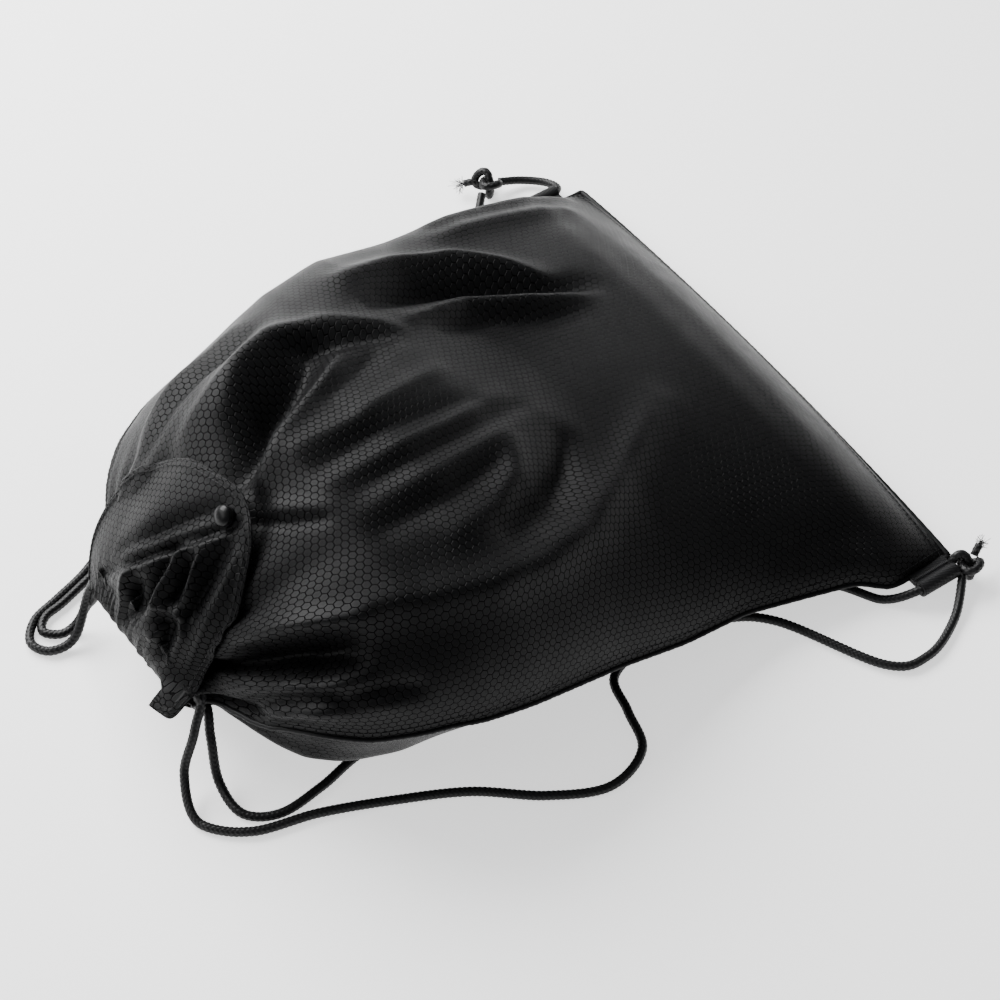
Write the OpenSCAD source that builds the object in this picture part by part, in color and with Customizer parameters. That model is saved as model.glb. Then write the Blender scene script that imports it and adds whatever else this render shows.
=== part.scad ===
// Drawstring backpack lying on its back, stuffed, with its mouth drawn shut.
// +X is the wearer's right-hand side of the front, +Y runs from the bottom seam to the mouth,
// +Z is up from the surface that it lies on. The front panel is on top.

/* [Body] */
// Half width at the bottom seam
half_w = 173; // [165:1:180]
// Height of the stuffed body above the floor
body_h = 143; // [125:1:150]
// Place of the bottom seam along the length
bottom_y = -204; // [-206:1:-200]
// Wall thickness of the panels and the flap
wall = 1.2; // [1:0.1:1.6]
// Height of the rolled seam allowance between the panels
seam_t = 2; // [1.6:0.1:2.4]

/* [Mouth] */
// Place where the panels end and the cord casings begin
neck_y = 186; // [184:1:187]
// Width of the gathered cord casings along the bag
casing_l = 14; // [12:1:15]
// Height of the middle of the mouth
mouth_z = 46; // [45:1:47]

/* [Flap] */
// Height of the line where the flap folds over the mouth
fold_z = 48; // [47:0.5:49]

/* [Snap] */
// Radius of the domed cap
cap_r = 5.6; // [5.5:0.1:7]
// Radius of the socket and of the stud's plate
snap_r = 5; // [4.5:0.1:5.2]

/* [Cords and loops] */
// Diameter of the braided cord
cord_d = 5; // [4.5:0.1:5.2]
// Width of the woven webbing
web_w = 25; // [20:1:26]
// Thickness of one ply of webbing
web_t = 1.4; // [1.2:0.1:1.5]

/* [Hidden] */
$fn = 48;

fabric = [0.17, 0.17, 0.18];
lining = [0.11, 0.11, 0.12];
cord_black = [0.05, 0.05, 0.055];
web_black = [0.08, 0.08, 0.085];
snap_black = [0.03, 0.03, 0.03];

// ---- Outline of the stuffed body along its length: [y, value] ----
// The load lies towards the right, so the two sides differ.
left_width = [[-204, half_w], [-160, 172], [-150, 161], [-80, 145], [0, 144], [60, 147], [90, 146],
              [120, 139], [145, 129], [165, 112], [178, 84], [186, 50]];
right_width = [[-204, half_w], [-160, half_w], [-150, 170], [-80, 161], [0, 150], [60, 142], [90, 138],
               [120, 130], [145, 118], [165, 99], [178, 76], [186, 50]];
left_seam = [[-204, 11], [-160, 11], [-140, 13.5], [-40, 22], [30, 40], [106, 60], [165, 64], [186, mouth_z]];
right_seam = [[-204, 11], [-160, 11], [-140, 20], [-95, 36], [0, 50], [60, 60], [160, 60], [186, mouth_z]];
top_tab = [[-204, 14], [-190, 34], [-172, 54], [-150, 66], [-100, 80], [-50, 94], [10, 124],
           [60, 140], [110, body_h], [130, 135], [149, 121], [165, 103], [178, 82], [186, 68]];
base_tab = [[-204, 8.4], [-190, 2], [-172, 0], [125, 0], [150, 3], [170, 12], [186, 24]];
// How full the arch is beside the crown: under 1 is full, over 1 is hollow
left_arch = [[-204, 1], [-100, 1.1], [-40, 0.9], [30, 0.8], [110, 0.8], [186, 1]];
right_arch = [[-204, 1], [-150, 0.55], [-95, 0.42], [0, 0.42], [40, 0.7], [91, 1.5], [154, 1.8],
              [186, 1]];
// How the back panel rises from the floor to the seam: a higher power stays low for longer
belly_tab = [[-204, 1.6], [0, 1.9], [60, 2.2], [120, 2.8], [186, 2.4]];
smooth_span = 6;
function smooth_at(y, tab) =
  (lookup(y - smooth_span, tab) + 2 * lookup(y, tab) + lookup(y + smooth_span, tab)) / 4;
function half_width(y, side) = smooth_at(y, side < 0 ? left_width : right_width);
function seam_z(y, side) = smooth_at(y, side < 0 ? left_seam : right_seam);
function arch(y, side) = lookup(y, side < 0 ? left_arch : right_arch);
function top_z(y) = smooth_at(y, top_tab);
function base_z(y) = lookup(y, base_tab);

rows = 32;                // steps along the length
arch_steps = 24;          // steps across the front panel
side_steps = 7;           // steps across each side of the back panel
flat_share = 0.42;        // share of the half width that lies flat on the floor
function row_y(j) = bottom_y + (neck_y - bottom_y) * j / rows;

// Height of the front panel's outer face
function front_z(x, y) =
  let (q = min(1, abs(x) / half_width(y, x)), s = seam_z(y, x))
  s + (top_z(y) - s) * pow(sqrt(1 - q * q), arch(y, x));

// ---- A thin closed solid between two grids of points ----
module shell(outer, inner) {
  n = len(outer[0]);
  m = len(outer);
  points = concat([for (r = outer) each r], [for (r = inner) each r]);
  function a(j, i) = j * n + i;
  function b(j, i) = m * n + j * n + i;
  faces = concat(
    [for (j = [0:m - 2], i = [0:n - 2]) [a(j, i), a(j + 1, i), a(j + 1, i + 1), a(j, i + 1)]],
    [for (j = [0:m - 2], i = [0:n - 2]) [b(j, i), b(j, i + 1), b(j + 1, i + 1), b(j + 1, i)]],
    [for (i = [0:n - 2]) [a(0, i), a(0, i + 1), b(0, i + 1), b(0, i)]],
    [for (i = [0:n - 2]) [a(m - 1, i + 1), a(m - 1, i), b(m - 1, i), b(m - 1, i + 1)]],
    [for (j = [0:m - 2]) [a(j + 1, 0), a(j, 0), b(j, 0), b(j + 1, 0)]],
    [for (j = [0:m - 2]) [a(j, n - 1), a(j + 1, n - 1), b(j + 1, n - 1), b(j, n - 1)]]
  );
  polyhedron(points, faces);
}

// ---- Panels ----
// One row across the front panel, drawn in by d from its outer face
function front_row(y, d) =
  [for (i = [0:arch_steps])
    let (t = 180 * i / arch_steps, side = i < arch_steps / 2 ? -1 : 1,
         w = half_width(y, side) - d, s = seam_z(y, side) + seam_t / 2, h = top_z(y) - s - d)
    [-w * cos(t), y, s + h * pow(sin(t), arch(y, side))]];

module front_panel() {
  color(fabric)
    shell([for (j = [0:rows]) front_row(row_y(j), 0)], [for (j = [0:rows]) front_row(row_y(j), wall)]);
}

// Places across the back panel, from -1 to 1, with one flat step in the middle
back_shares = concat(
  [for (i = [0:side_steps]) -1 + (1 - flat_share) * i / side_steps],
  [for (i = [0:side_steps]) flat_share + (1 - flat_share) * i / side_steps]
);
function back_row(y, d) =
  [for (p = back_shares)
    let (w = half_width(y, p) - d, s = seam_z(y, p) - seam_t / 2, b = base_z(y) + d,
         q = max(0, (abs(p) - flat_share) / (1 - flat_share)))
    [w * p, y, b + (s - b) * pow(q, lookup(y, belly_tab))]];

module back_panel() {
  color(fabric)
    shell([for (j = [0:rows]) back_row(row_y(j), wall)], [for (j = [0:rows]) back_row(row_y(j), 0)]);
}

// ---- Seams ----
seam_in = 4;     // how far the allowance reaches inside the panel's edge
seam_out = 1.2;  // how far the seam stands out of the panel's edge
function seam_row(y, z, side) =
  let (w = half_width(y, side), s = seam_z(y, side) + z)
  [[w - seam_in, y, s], [w + seam_out, y, s]];

module side_seam(side) {
  color(lining)
    shell([for (j = [0:rows]) seam_row(row_y(j), seam_t / 2, side)],
          [for (j = [0:rows]) seam_row(row_y(j), -seam_t / 2, side)]);
}
module right_side_seam() side_seam(1);
module left_side_seam() mirror([1, 0, 0]) side_seam(-1);

module bottom_seam() {
  depth = 3;
  color(lining)
    translate([-half_w, bottom_y - depth, base_z(bottom_y) - 0.4])
      cube([2 * half_w, depth, top_z(bottom_y) - base_z(bottom_y) + 0.8]);
}

// ---- Cord casings: the gathered channels round the mouth ----
casing_rx = 51;
casing_rz = 24;
mouth_rx = 38;
mouth_rz = 7;
split_gap = 0.3;   // half the slit at the side seams, where the cords come out
arc_steps = 32;
function half_arc(rx, rz, sign) =
  [for (i = [0:arc_steps]) let (t = 180 * i / arc_steps) [rx * cos(t), sign * (split_gap + rz * sin(t))]];

module casing(sign) {
  ring = concat(half_arc(casing_rx, casing_rz, sign),
                [for (i = [arc_steps:-1:0]) half_arc(mouth_rx, mouth_rz, sign)[i]]);
  color(fabric)
    translate([0, neck_y + casing_l, mouth_z])
      rotate([90, 0, 0])
        linear_extrude(casing_l) polygon(ring);
}
module front_casing() casing(1);
module back_casing() casing(-1);

// ---- Flap ----
fold_y = 205.4;
root_half_w = 44;
fold_gap = 1.1;
// The root: from the back casing out to the fold, [y, z]
root_path = [[200, 30], [204, 34], [206, 41], [fold_y - 0.6, fold_z - fold_gap]];
root_normal = [[0, 1], [0.7, 0.7], [1, 0], [1, 0]];   // towards the bag at each point
module flap_root() {
  function line(k, d) =
    [for (x = [-root_half_w, root_half_w])
      [x, root_path[k][0] - d * root_normal[k][0], root_path[k][1] + d * root_normal[k][1]]];
  color(fabric)
    shell([for (k = [3:-1:0]) line(k, 0)], [for (k = [3:-1:0]) line(k, wall)]);
}

// The flap's middle line from the fold over the mouth to its free edge: [step, value]
flap_y = [[0, fold_y], [1, 207], [2, 204], [3, 195], [4, 181], [5, 165], [6, 149], [7, 136]];
flap_z = [[0, fold_z + 0.3], [1, 62], [2, 78], [3, 93], [4, 106], [5, 118], [6, 131.5], [7, 142.5]];
flap_tilt = [[0, 0], [1, 0], [2, 22], [3, 40], [4, 50], [7, 50]];
flap_mid_x = [[0, 0], [1, 6], [2, 10], [7, 12]];
flap_half = [[0, 45], [1, 55], [2, 63], [3, 68], [4, 68], [5, 60], [6, 50], [7, 38]];
flap_droop = [[0, 0], [1, 10], [2, 20], [3, 24], [4, 24], [5, 18], [6, 10], [7, 8]];
right_droop = 1.6;   // the flap's right half hangs lower, over the hollow beside the crown
flap_lift = 3.2;   // least height of the flap's outer face over the front panel
hem_step = 6.45;   // where the hem begins, along the flap's steps
flap_rows = 14;
flap_cols = 16;

function flap_point(v, u, d) =
  let (
    x = lookup(v, flap_mid_x) + u * lookup(v, flap_half),
    y = lookup(v, flap_y) + (v > 5 ? 6 * (v - 5) / 2 * u * u : 0),
    hang = lookup(v, flap_z) - lookup(v, flap_droop) * u * u * (u > 0 ? right_droop : 1),
    z = y < neck_y ? max(hang, front_z(x, y) + flap_lift) : hang,
    tilt = lookup(v, flap_tilt)
  )
  [x, y - d * cos(tilt), z - d * sin(tilt)];
function flap_grid(v0, v1, n, d) =
  [for (k = [0:n])
    [for (i = [0:flap_cols]) flap_point(v0 + (v1 - v0) * k / n, -1 + 2 * i / flap_cols, d)]];

module closure_flap() {
  color(fabric)
    difference() {
      shell(flap_grid(0, hem_step, flap_rows, wall), flap_grid(0, hem_step, flap_rows, 0));
      at_snap() translate([0, 0, 3]) cylinder(r = rivet_r, h = 5);
    }
}
module flap_hem() {
  color(lining)
    shell(flap_grid(hem_step, 7, 2, wall + 0.5), flap_grid(hem_step, 7, 2, 0));
}

// ---- Snap: the cap and socket on the flap, the stud and eyelet on the front panel ----
snap_x = -12;
snap_y = 148;
// The snap's axis runs along the flap's opening path
snap_tilt = atan2(front_z(snap_x, snap_y) - fold_z, fold_y - snap_y);
rivet_r = 1.5;
stud_r = 2.2;
module at_snap() {
  translate([snap_x, snap_y, front_z(snap_x, snap_y)]) rotate([-snap_tilt, 0, 0]) children();
}
module snap_stud() {
  color(snap_black) at_snap() {
    translate([0, 0, 0.5]) cylinder(r = snap_r, h = 0.8);
    translate([0, 0, 1.3]) cylinder(r = stud_r - 0.3, h = 0.9);
    translate([0, 0, 2.2]) cylinder(r = stud_r, h = 0.8);
  }
}
module snap_eyelet() {
  color(snap_black) at_snap() {
    translate([0, 0, -2.2]) cylinder(r = rivet_r, h = 2.7);
    translate([0, 0, -3]) cylinder(r = snap_r, h = 0.8);
  }
}
module snap_socket() {
  color(snap_black) at_snap() difference() {
    translate([0, 0, 1.7]) cylinder(r = snap_r, h = 2.4);
    translate([0, 0, 1.6]) cylinder(r = stud_r + 0.4, h = 1.8);
  }
}
// The cap's half section: its flat rim, then the dome, [radius, height]
cap_section = [[0, 0], [cap_r, 0], [cap_r, 0.9], [cap_r - 0.7, 1.8], [cap_r - 2.4, 2.7], [0, 3.1]];
module snap_cap() {
  color(snap_black) at_snap() {
    translate([0, 0, 4.1]) cylinder(r = rivet_r, h = 2.3);
    translate([0, 0, 6.4]) rotate_extrude() polygon(cap_section);
  }
}

// ---- Webbing loops in the side seams at the bottom corners ----
loop_y = -171;                         // mouth-side edge of the webbing
loop_z = 11;
eye_r = 2.8;                           // inside radius, round the cord
seam_x = half_w + seam_out;
eye_x = seam_x + 8;
module web_loop() {
  color(web_black)
    translate([0, loop_y, loop_z]) rotate([90, 0, 0]) linear_extrude(web_w) difference() {
      union() {
        translate([eye_x, 0]) circle(r = eye_r + web_t);
        translate([seam_x, -web_t]) square([eye_x - seam_x, 2 * web_t]);
      }
      translate([eye_x, 0]) circle(r = eye_r);
    }
}
module right_web_loop() web_loop();
module left_web_loop() mirror([1, 0, 0]) web_loop();

module loop_bartack() {
  bar = [1.6, web_w - 2, 0.5];
  color(cord_black) {
    translate([seam_x + 1, loop_y - web_w + 1, loop_z + web_t]) cube(bar);
    translate([seam_x + 1, loop_y - web_w + 1, loop_z - web_t - bar[2]]) cube(bar);
  }
}
module right_loop_bartack() loop_bartack();
module left_loop_bartack() mirror([1, 0, 0]) loop_bartack();

// ---- Cords: from knot to casing, round the mouth inside the casings and back to the knot ----
left_route = [
  [-186, -198, 9], [-203, -178, 3], [-214, -150, 3], [-205, -127, 3], [-150, -99, 3],
  [-131, -72, 3], [-124, -34, 3], [-130, -6, 3], [-152, 2, 3], [-176, 11, 3],
  [-185, 38, 3], [-171, 68, 3], [-147, 98, 3], [-129, 133, 3], [-114, 168, 3],
  [-104, 202, 3], [-84, 221, 3], [-62, 215, 14], [-55, 203, 34], [-42, 190, 54],
  [0, 189, 62], [44, 190, 53], [44, 190, 39], [0, 189, 31], [-42, 190, 38],
  [-58, 196, 26], [-72, 201, 8], [-92, 200, 3], [-103, 184, 3], [-101, 158, 3],
  [-95, 128, 3], [-99, 85, 3], [-106, 40, 3], [-112, -5, 3], [-117, -55, 3],
  [-126, -105, 3], [-147, -139, 3], [-171, -155, 3], [-182, -172, 10.6], [-182.2, -190, 11],
  [-183, -199, 10],
];
right_route = [
  [209, -160, 8], [196, -147, 3], [177, -128, 3], [164, -95, 3], [158, -50, 3],
  [155, 0, 3], [149, 42, 3], [138, 80, 3], [124, 118, 3], [114, 146, 3],
  [101, 168, 3], [90, 188, 3], [83, 208, 3], [77, 225, 3], [65, 234, 3],
  [54, 228, 3], [52, 214, 7], [58, 199, 30], [42, 196, 54], [0, 197, 62],
  [-44, 196, 53], [-44, 196, 39], [0, 197, 31], [42, 196, 38], [58, 200, 20],
  [60, 209, 6], [61, 218, 3], [68, 225, 3], [76, 219, 3], [80, 204, 3], [94, 166, 3],
  [108, 140, 3], [117, 114, 3], [131, 77, 3], [142, 40, 3], [148, 0, 3],
  [150, -50, 3], [155, -95, 3], [163, -133, 3], [175, -156, 4], [182, -172, 10.6],
  [182.2, -192, 11], [187, -201, 8], [198, -200, 5], [208, -189, 5], [212, -175, 8],
];
cord_sides = 8;
rings_per_span = 2;

// A point on the smooth curve through a route's points
function route_at(r, k) =
  let (n = len(r) - 1, i = min(n - 1, floor(k)), t = k - i,
       a = r[max(0, i - 1)], b = r[i], c = r[i + 1], d = r[min(n, i + 2)])
  0.5 * (2 * b + (c - a) * t + (2 * a - 5 * b + 4 * c - d) * t * t + (3 * b - a - 3 * c + d) * t * t * t);
function unit(v) = v / norm(v);
function route_dir(r, k) =
  unit(route_at(r, min(len(r) - 1, k + 0.05)) - route_at(r, max(0, k - 0.05)));
// A reference direction that no stretch of cord runs along
up_hint = [0.1, 0.2, 1];
function ring(p, dir, radius) =
  let (side = unit(cross(dir, up_hint)), up = cross(side, dir))
  [for (s = [0:cord_sides - 1]) let (a = 360 * (s + 0.5) / cord_sides)
    p + radius * (cos(a) * side + sin(a) * up)];

module cord_tube(route, radius = cord_d / 2) {
  last = rings_per_span * (len(route) - 1);
  points = [for (k = [0:last]) let (t = k / rings_per_span)
    each ring(route_at(route, t), route_dir(route, t), radius)];
  n = cord_sides;
  faces = concat(
    [[for (s = [0:n - 1]) s]],
    [[for (s = [n - 1:-1:0]) last * n + s]],
    [for (k = [0:last - 1], s = [0:n - 1]) let (e = (s + 1) % n)
      [k * n + s, (k + 1) * n + s, (k + 1) * n + e, k * n + e]]
  );
  color(cord_black) polyhedron(points, faces);
}
module left_cord() cord_tube(left_route);
module right_cord() cord_tube(right_route);

// ---- Knots and the short frayed tips beyond them ----
left_knot_at = [-184, -206, 9];
right_knot_at = [214, -167, 9];
knot_r = 4.9;
module knot(at, turn) {
  color(cord_black) translate(at) rotate([0, 0, turn]) {
    rotate([68, 0, 0]) rotate_extrude() translate([knot_r, 0]) circle(r = 3.3);
    rotate([112, 0, 60]) rotate_extrude() translate([knot_r, 0]) circle(r = 3.3);
    sphere(r = 4.6);
  }
}
module left_knot() knot(left_knot_at, 0);
module right_knot() knot(right_knot_at, 40);
module left_cord_tips() {
  cord_tube([left_knot_at + [5, -6, 2], left_knot_at + [9, -9, 4], left_knot_at + [13, -13, 4]]);
  cord_tube([left_knot_at + [-3, -8, 2], left_knot_at + [-4, -12, 5], left_knot_at + [-4, -17, 6]]);
}
module right_cord_tips() {
  cord_tube([right_knot_at + [4, 7, 0], right_knot_at + [7, 11, -2], right_knot_at + [10, 16, -5]]);
  cord_tube([right_knot_at + [8, 2, 1], right_knot_at + [12, 6, -1], right_knot_at + [17, 12, -3]]);
}

front_panel();
back_panel();
left_side_seam();
right_side_seam();
bottom_seam();
front_casing();
back_casing();
flap_root();
closure_flap();
flap_hem();
snap_cap();
snap_socket();
snap_stud();
snap_eyelet();
left_web_loop();
right_web_loop();
left_loop_bartack();
right_loop_bartack();
left_cord();
right_cord();
left_knot();
right_knot();
left_cord_tips();
right_cord_tips();
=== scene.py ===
"""A black drawstring backpack lying on its back: cloth, flap, snap, webbing loops, cords and knots."""

import math

import bpy
import numpy as np
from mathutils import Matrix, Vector
from mathutils.bvhtree import BVHTree


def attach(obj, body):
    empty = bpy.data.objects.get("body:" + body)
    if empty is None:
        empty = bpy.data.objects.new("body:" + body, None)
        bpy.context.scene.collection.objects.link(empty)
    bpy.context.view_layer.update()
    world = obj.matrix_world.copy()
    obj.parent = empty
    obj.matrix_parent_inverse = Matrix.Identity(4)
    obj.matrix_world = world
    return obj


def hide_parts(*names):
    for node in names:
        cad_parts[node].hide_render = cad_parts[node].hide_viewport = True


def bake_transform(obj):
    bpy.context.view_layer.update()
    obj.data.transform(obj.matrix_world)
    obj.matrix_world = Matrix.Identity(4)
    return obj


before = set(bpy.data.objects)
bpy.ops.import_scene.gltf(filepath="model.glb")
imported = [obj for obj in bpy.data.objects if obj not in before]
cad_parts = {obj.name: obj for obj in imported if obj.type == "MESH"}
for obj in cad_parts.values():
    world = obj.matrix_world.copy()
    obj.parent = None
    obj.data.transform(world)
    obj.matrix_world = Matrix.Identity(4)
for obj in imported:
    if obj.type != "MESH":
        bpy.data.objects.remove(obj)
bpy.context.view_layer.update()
MM = 0.001

# ---------------------------------------------------------------- measures, in millimetres
HALF_W = 173.0            # half width at the bottom seam
BOTTOM_Y = -204.0         # bottom seam
NECK_Y = 186.0            # where the panels end and the casings begin
CASING_L = 14.0           # the casings' width
MOUTH_Z = 46.0            # height of the middle of the mouth
CORD_D = 5.0
WEB_W = 25.0
WEB_T = 1.4
HEX_PITCH = 4.1           # honeycomb cell, flat to flat

# The stuffed body's outline along its length: (y, value). The load lies towards the right.
LEFT_WIDTH = [(-204, HALF_W), (-160, 172), (-150, 161), (-80, 145), (0, 144), (60, 147), (90, 146),
              (120, 139), (145, 129), (165, 112), (178, 84), (186, 52), (200, 48)]
RIGHT_WIDTH = [(-204, HALF_W), (-160, HALF_W), (-150, 170), (-80, 161), (0, 150), (60, 142), (90, 138),
               (120, 129), (145, 114), (165, 93), (178, 71), (186, 52), (200, 48)]
LEFT_SEAM = [(-204, 11), (-160, 11), (-140, 13.5), (-40, 22), (30, 40), (106, 60), (165, 64), (186, MOUTH_Z)]
RIGHT_SEAM = [(-204, 11), (-160, 11), (-140, 20), (-95, 36), (0, 50), (60, 60), (160, 60), (186, MOUTH_Z)]
TOP = [(-204, 14), (-190, 34), (-172, 54), (-150, 66), (-100, 80), (-50, 94), (10, 124),
       (60, 140), (110, 143), (130, 135), (149, 121), (165, 103), (178, 82), (186, 69), (200, 66)]
BASE = [(-204, 8.4), (-190, 2), (-172, 0), (125, 0), (150, 3), (170, 12), (186, 24), (200, 26)]
LEFT_ARCH = [(-204, 1), (-100, 1.1), (-40, 0.9), (30, 0.8), (110, 0.8), (186, 1)]
RIGHT_ARCH = [(-204, 1), (-150, 0.55), (-95, 0.42), (0, 0.42), (40, 0.7), (91, 1.5), (154, 1.8), (186, 1)]
BELLY = [(-204, 1.6), (0, 1.9), (60, 2.2), (120, 2.8), (186, 2.4)]
FLAT_SHARE = 0.42         # share of the half width that lies flat on the floor


def along(y, table):
    return np.interp(y, *zip(*table))


def smooth_at(y, table):
    """A table's value at y, rounded off over a few millimetres as in the CAD."""
    return (along(y - 6, table) + 2 * along(y, table) + along(y + 6, table)) / 4


def by_side(x, y, left, right, look=smooth_at):
    return np.where(np.asarray(x) < 0, look(y, left), look(y, right))


def front_height(x, y):
    """Height of the stuffed front panel, without its folds."""
    q = np.minimum(1, np.abs(x) / by_side(x, y, LEFT_WIDTH, RIGHT_WIDTH))
    seam = by_side(x, y, LEFT_SEAM, RIGHT_SEAM)
    arch = by_side(x, y, LEFT_ARCH, RIGHT_ARCH, along)
    return seam + (smooth_at(y, TOP) - seam) * np.sqrt(1 - q * q) ** arch


# ---------------------------------------------------------------- mesh helpers
def mesh_object(name, verts_mm, faces, attributes=()):
    """A smooth-shaded mesh from points in millimetres, with named point attributes."""
    mesh = bpy.data.meshes.new(name)
    mesh.from_pydata([tuple(p) for p in np.asarray(verts_mm) * MM], [], faces)
    mesh.update()
    mesh.polygons.foreach_set("use_smooth", [True] * len(mesh.polygons))
    for key, values in attributes:
        layer = mesh.attributes.new(key, "FLOAT_VECTOR", "POINT")
        flat = np.zeros((len(verts_mm), 3))
        values = np.asarray(values)
        flat[:, :values.shape[1]] = values
        layer.data.foreach_set("vector", flat.ravel())
    obj = bpy.data.objects.new(name, mesh)
    bpy.context.scene.collection.objects.link(obj)
    return obj


def grid_faces(rows, cols, offset=0, close=False, flip=False):
    """Quads between rows of points; close joins each row's last point to its first."""
    faces = []
    for j in range(rows - 1):
        for i in range(cols if close else cols - 1):
            k = (i + 1) % cols
            quad = (offset + j * cols + i, offset + j * cols + k,
                    offset + (j + 1) * cols + k, offset + (j + 1) * cols + i)
            faces.append(quad[::-1] if flip else quad)
    return faces


def subdivide(obj, levels=1):
    mod = obj.modifiers.new("finer", "SUBSURF")
    mod.levels = mod.render_levels = levels


def arc_resample(curve, count, size=3):
    """count + 1 points at equal steps along a polyline, and the whole length."""
    step = np.linalg.norm(np.diff(curve, axis=0), axis=1)
    run = np.concatenate([[0], np.cumsum(step)])
    at = np.linspace(0, run[-1], count + 1)
    return np.stack([np.interp(at, run, curve[:, k]) for k in range(size)], axis=1), run[-1]


# ---------------------------------------------------------------- lines and tubes
def smooth_route(points, step):
    """Evenly spaced points on the smooth curve through a route's points."""
    p = np.array(points, float)
    p = np.vstack([p[:1], p, p[-1:]])
    t = np.linspace(0, 1, 24, endpoint=False)[:, None]
    spans = []
    for a, b, c, d in zip(p, p[1:], p[2:], p[3:]):
        spans.append(0.5 * (2 * b + (c - a) * t + (2 * a - 5 * b + 4 * c - d) * t * t
                            + (3 * b - a - 3 * c + d) * t * t * t))
    dense = np.vstack(spans + [p[-1:]])
    length = np.linalg.norm(np.diff(dense, axis=0), axis=1).sum()
    return arc_resample(dense, max(2, round(length / step)))[0]


def path_length(path):
    return float(np.linalg.norm(np.diff(path, axis=0), axis=1).sum())


def frames_along(path):
    """Directions along a path, with two directions across it that never twist."""
    ahead = np.gradient(path, axis=0)
    ahead /= np.maximum(np.linalg.norm(ahead, axis=1, keepdims=True), 1e-9)
    side = np.cross(ahead[0], (0.1, 0.2, 1.0))
    sides = []
    for direction in ahead:
        side = side - direction * np.dot(side, direction)
        side = side / np.linalg.norm(side)
        sides.append(side)
    sides = np.array(sides)
    return ahead, sides, np.cross(ahead, sides)


def tube(path, radii, sides):
    """Points and faces of a closed tube; radii holds one value or a rings x sides table."""
    _, across, up = frames_along(path)
    turn = np.arange(sides) * 2 * math.pi / sides
    ring = across[:, None, :] * np.cos(turn)[None, :, None] + up[:, None, :] * np.sin(turn)[None, :, None]
    radii = np.broadcast_to(np.asarray(radii, float), (len(path), sides))
    points = (path[:, None, :] + ring * radii[..., None]).reshape(-1, 3)
    faces = grid_faces(len(path), sides, close=True)
    last = (len(path) - 1) * sides
    faces.append(tuple(reversed(range(sides))))
    faces.append(tuple(range(last, last + sides)))
    return points, faces


def joined(parts):
    """Several (points, faces) in one."""
    points, faces, start = [], [], 0
    for part_points, part_faces in parts:
        points.append(part_points)
        faces.extend(tuple(k + start for k in face) for face in part_faces)
        start += len(part_points)
    return np.vstack(points), faces


BRAID_STRANDS = 8          # strands each way round the cord
BRAID_PITCH = 2.5
BRAID_DEPTH = 0.55


def braid_height(turn, run):
    """Height of a two-over-two braid, 0 in its grooves and 1 on a strand; turn goes 0 to 1 round the cord."""
    p = turn * BRAID_STRANDS + run / BRAID_PITCH
    q = turn * BRAID_STRANDS - run / BRAID_PITCH
    i, j = np.floor(p), np.floor(q)
    state = np.mod(i + j, 4)
    over = state < 2
    across = np.where(over, q - j, p - i)
    float_over = np.mod(p + j, 4) / 2
    float_under = (np.mod(q + i, 4) - 2) / 2
    lengthwise = np.clip(np.where(over, float_over, float_under), 0, 1)
    return np.sin(np.pi * across) ** 0.6 * (0.45 + 0.55 * np.sin(np.pi * lengthwise))


def braid_tube(path, diameter, sides=32, fade_ends=False):
    """A braided tube's points and faces, and its braid height at each point."""
    run = np.concatenate([[0], np.cumsum(np.linalg.norm(np.diff(path, axis=0), axis=1))])
    height = braid_height(np.arange(sides)[None, :] / sides, run[:, None])
    radii = diameter / 2 + BRAID_DEPTH * (height - 0.75)
    if fade_ends:
        end = np.minimum(run, run[-1] - run)
        radii = radii * np.sqrt(np.clip((end + 0.3) / 2.0, 0.05, 1))[:, None]
    points, faces = tube(path, radii, sides)
    return points, faces, height.reshape(-1)


def braid_object(name, path, diameter, fade_ends=False):
    points, faces, height = braid_tube(path, diameter, fade_ends=fade_ends)
    obj = mesh_object(name, points, faces, [("crown", height[:, None])])
    obj.data.materials.append(CORD_BLACK)
    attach(obj, "bag")
    return obj


# ---------------------------------------------------------------- stitches and frayed ends
def stitches(centres, directions, length, radius):
    """A short rounded stitch at each centre, lying along its direction."""
    profile = [(-0.5, 0.35), (-0.36, 0.85), (0.0, 1.0), (0.36, 0.85), (0.5, 0.35)]
    parts = []
    for centre, direction in zip(centres, directions):
        direction = direction / max(np.linalg.norm(direction), 1e-9)
        line = np.array([centre + direction * length * at for at, _ in profile])
        parts.append(tube(line, np.array([[radius * size] for _, size in profile]), 6))
    return joined(parts)


def stitch_row(path, spacing, length, radius):
    line = arc_resample(path, max(2, round(path_length(path) / spacing)))[0]
    ahead = np.gradient(line, axis=0)
    return stitches(line, ahead, length, radius)


def fibres(base, direction, count, length, spread, seed):
    """Thin loose yarns fanning out of a cut cord end."""
    rng = np.random.default_rng(seed)
    direction = np.array(direction, float) / np.linalg.norm(direction)
    parts = []
    for _ in range(count):
        start = np.array(base, float) + rng.normal(0, 0.9, 3)
        heading = direction + rng.normal(0, spread, 3)
        heading /= np.linalg.norm(heading)
        bend = rng.normal(0, 0.45, 3)
        size = length * rng.uniform(0.35, 1.0)
        line = [start]
        for _ in range(6):
            heading = heading + bend * 0.3 + rng.normal(0, 0.12, 3)
            heading /= np.linalg.norm(heading)
            line.append(line[-1] + heading * size / 6)
        parts.append(tube(np.array(line), rng.uniform(0.09, 0.17), 4))
    return joined(parts)


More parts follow.
